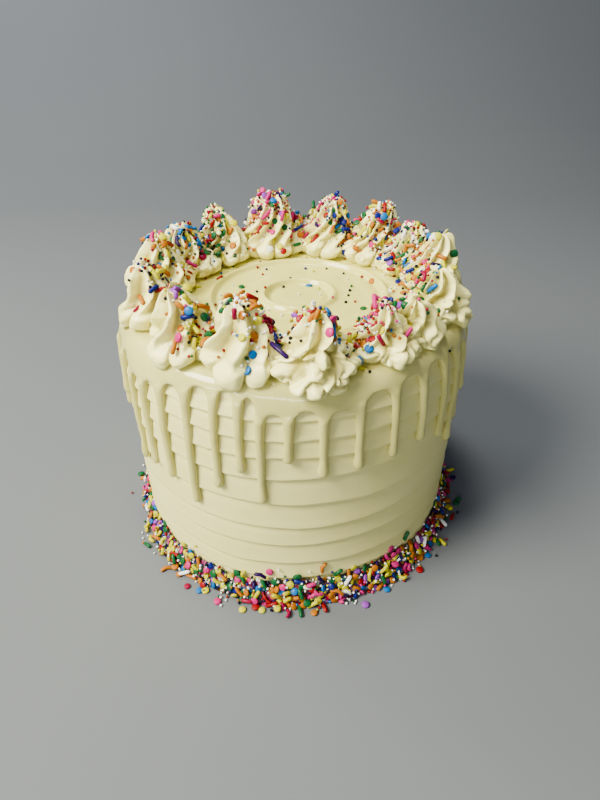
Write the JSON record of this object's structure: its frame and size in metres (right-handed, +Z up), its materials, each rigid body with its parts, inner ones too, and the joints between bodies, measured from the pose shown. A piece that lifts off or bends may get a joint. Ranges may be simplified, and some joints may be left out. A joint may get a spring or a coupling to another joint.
{
  "type": "birthday drip cake without candles",
  "caption": "Tall round buttercream drip cake, uncut, with a ring of piped swirls on top, mixed sprinkles and a sprinkle border round the foot.",
  "frame": {"origin": "on the cake's axis, at the surface the cake stands on", "axes": "+Z up, -Y towards the viewer's side, where the swirl hangs over the rim"},
  "size_m": [0.1813, 0.1804, 0.1472],
  "materials": {
    "cake_body": "satin buttercream, ivory",
    "glaze": "glossy poured glaze, ivory",
    "swirl": "satin piped buttercream, ivory, with mixed sprinkles",
    "sprinkle_border": "heap of sugar sprinkles in many colours"
  },
  "bodies": {
    "root": {"cake_body": "cake_body", "glaze": "glaze", "swirl_01": "swirl", "swirl_02": "swirl", "swirl_03": "swirl", "swirl_04": "swirl", "swirl_05": "swirl", "swirl_06": "swirl", "swirl_07": "swirl", "swirl_08": "swirl", "swirl_09": "swirl", "swirl_10": "swirl", "swirl_11": "swirl", "swirl_12": "swirl", "swirl_13": "swirl", "swirl_14": "swirl", "swirl_15": "swirl", "sprinkle_border": "sprinkle_border"}
  },
  "joints": []
}
